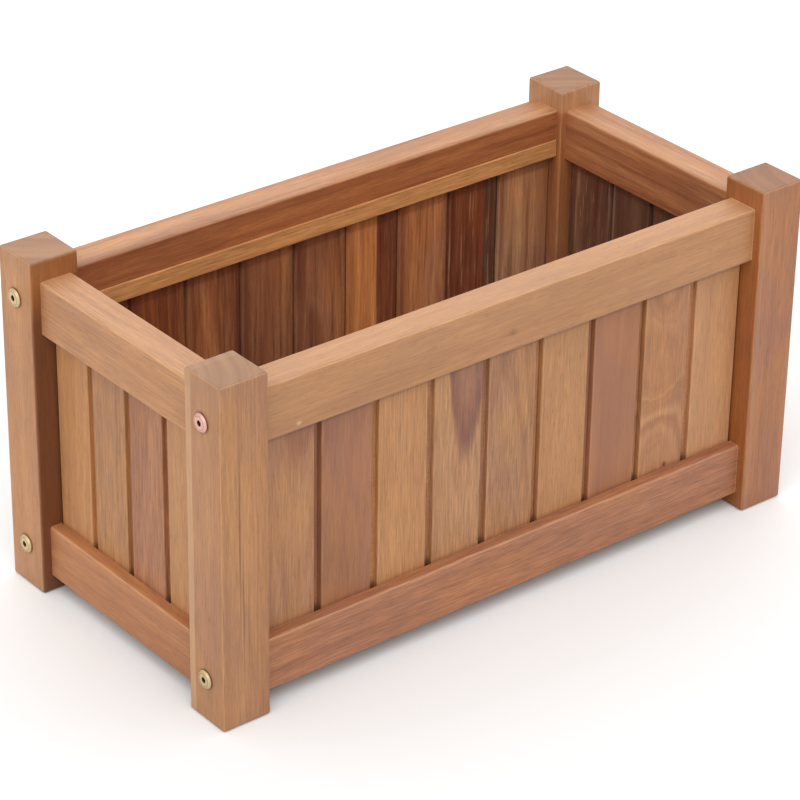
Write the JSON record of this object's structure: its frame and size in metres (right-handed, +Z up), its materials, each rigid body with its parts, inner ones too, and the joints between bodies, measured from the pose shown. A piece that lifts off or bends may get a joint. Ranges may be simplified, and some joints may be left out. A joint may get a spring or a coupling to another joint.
{
  "type": "raised planter box",
  "caption": "Oblong wooden planter box on corner posts, with railed tongue-and-groove slat walls and a slatted draining floor; open on top for soil and plants.",
  "frame": {"origin": "centre of the footprint, on the floor that the four posts stand on", "axes": "+Z up, +X along the box's length, +Y across it to the back; front and back are alike"},
  "size_m": [0.5044, 0.25, 0.255],
  "materials": {
    "post_wood": "oiled satin",
    "rail_wood": "oiled satin",
    "slat_wood": "oiled satin",
    "bead_wood": "oiled satin",
    "ledger_wood": "oiled satin",
    "floor_wood": "oiled satin",
    "bolt_brass": "zinc plated, yellow",
    "insert_steel": "zinc plated",
    "screw_steel": "stainless"
  },
  "bodies": {
    "root": {"corner_bolts": "bolt_brass", "floor_board_1": "floor_wood", "floor_board_2": "floor_wood", "floor_board_3": "floor_wood", "floor_board_4": "floor_wood", "floor_board_5": "floor_wood", "floor_board_6": "floor_wood", "floor_board_7": "floor_wood", "floor_board_8": "floor_wood", "floor_board_9": "floor_wood", "floor_ledger_back": "ledger_wood", "floor_ledger_front": "ledger_wood", "floor_screws": "screw_steel", "ledger_screws": "screw_steel", "post_back_left": "post_wood", "post_back_right": "post_wood", "post_front_left": "post_wood", "post_front_right": "post_wood", "rail_back_bottom": "rail_wood", "rail_back_top": "rail_wood", "rail_front_bottom": "rail_wood", "rail_front_top": "rail_wood", "rail_left_bottom": "rail_wood", "rail_left_top": "rail_wood", "rail_right_bottom": "rail_wood", "rail_right_top": "rail_wood", "slat_back_1": "slat_wood", "slat_back_2": "slat_wood", "slat_back_3": "slat_wood", "slat_back_4": "slat_wood", "slat_back_5": "slat_wood", "slat_back_6": "slat_wood", "slat_back_7": "slat_wood", "slat_back_8": "slat_wood", "slat_back_9": "slat_wood", "slat_bead_back": "bead_wood", "slat_bead_front": "bead_wood", "slat_front_1": "slat_wood", "slat_front_2": "slat_wood", "slat_front_3": "slat_wood", "slat_front_4": "slat_wood", "slat_front_5": "slat_wood", "slat_front_6": "slat_wood", "slat_front_7": "slat_wood", "slat_front_8": "slat_wood", "slat_front_9": "slat_wood", "slat_left_1": "slat_wood", "slat_left_2": "slat_wood", "slat_left_3": "slat_wood", "slat_left_4": "slat_wood", "slat_right_1": "slat_wood", "slat_right_2": "slat_wood", "slat_right_3": "slat_wood", "slat_right_4": "slat_wood", "threaded_inserts": "insert_steel"}
  },
  "joints": []
}
